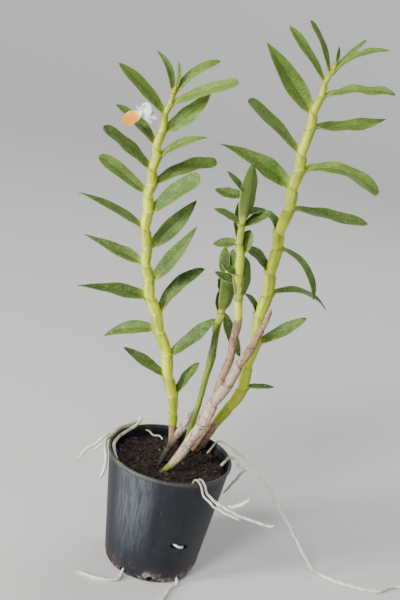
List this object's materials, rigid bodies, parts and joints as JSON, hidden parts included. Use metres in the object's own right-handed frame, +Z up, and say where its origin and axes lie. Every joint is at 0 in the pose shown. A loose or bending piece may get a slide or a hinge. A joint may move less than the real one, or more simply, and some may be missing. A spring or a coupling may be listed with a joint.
{
  "type": "potted orchid",
  "caption": "Small plastic nursery pot of bark mix with an orchid of leafy and bare canes, a small flower and aerial roots over the rim and floor.",
  "frame": {"origin": "middle of the pot's flat underside", "axes": "+Z up along the pot's axis, +X to the right of the front view, -Y towards the viewer"},
  "size_m": [0.2717, 0.0998, 0.3537],
  "materials": {
    "pot_plastic": "thin moulded black plastic with a soft sheen, scuffed and streaked, pale deposits at the foot",
    "bark_mix": "damp dark brown bark and husk chips",
    "green_cane": "waxy yellow-green stem with fine lengthwise ribs and darker oblique sheath edges",
    "young_stem": "smooth mid-green young stem",
    "dry_cane": "dry papery sheath, pale grey-white to tan with brown streaks",
    "leaf_green": "semi-matt fleshy leaf, paler along the edge and underneath",
    "root_velamen": "matt spongy white to cream, greenish in places",
    "flower_white": "thin matt white tepals",
    "flower_orange": "velvety orange lip with a pale edge"
  },
  "bodies": {
    "root": {"nursery_pot": "pot_plastic", "potting_mix": "bark_mix", "left_cane": "green_cane", "right_cane": "green_cane", "middle_cane": "dry_cane", "green_cane": "young_stem", "long_bare_cane": "dry_cane", "short_bare_cane": "dry_cane", "flower_tepals": "flower_white", "flower_lip": "flower_orange", "long_root": "root_velamen", "back_root": "root_velamen", "front_root": "root_velamen", "front_root_branch": "root_velamen", "front_side_root": "root_velamen", "rim_root": "root_velamen", "left_long_root": "root_velamen", "left_short_root": "root_velamen", "surface_root": "root_velamen", "drain_root_left": "root_velamen", "drain_root_front": "root_velamen", "wall_root": "root_velamen", "left_cane_leaf_01": "leaf_green", "left_cane_leaf_02": "leaf_green", "left_cane_leaf_03": "leaf_green", "left_cane_leaf_04": "leaf_green", "left_cane_leaf_05": "leaf_green", "left_cane_leaf_06": "leaf_green", "left_cane_leaf_07": "leaf_green", "left_cane_leaf_08": "leaf_green", "left_cane_leaf_09": "leaf_green", "left_cane_leaf_10": "leaf_green", "left_cane_leaf_11": "leaf_green", "left_cane_leaf_12": "leaf_green", "left_cane_leaf_13": "leaf_green", "left_cane_leaf_14": "leaf_green", "left_cane_leaf_15": "leaf_green", "left_cane_leaf_16": "leaf_green", "left_cane_leaf_17": "leaf_green", "left_cane_leaf_18": "leaf_green", "left_cane_leaf_19": "leaf_green", "left_tip_leaves": "leaf_green", "right_cane_leaf_01": "leaf_green", "right_cane_leaf_02": "leaf_green", "right_cane_leaf_03": "leaf_green", "right_cane_leaf_04": "leaf_green", "right_cane_leaf_05": "leaf_green", "right_cane_leaf_06": "leaf_green", "right_cane_leaf_07": "leaf_green", "right_cane_leaf_08": "leaf_green", "right_cane_leaf_09": "leaf_green", "right_cane_leaf_10": "leaf_green", "right_cane_leaf_11": "leaf_green", "right_cane_leaf_12": "leaf_green", "right_cane_leaf_13": "leaf_green", "right_cane_leaf_14": "leaf_green", "right_cane_leaf_15": "leaf_green", "right_tip_leaves": "leaf_green", "middle_shoot_leaves": "leaf_green", "green_shoot_leaves": "leaf_green"}
  },
  "joints": []
}
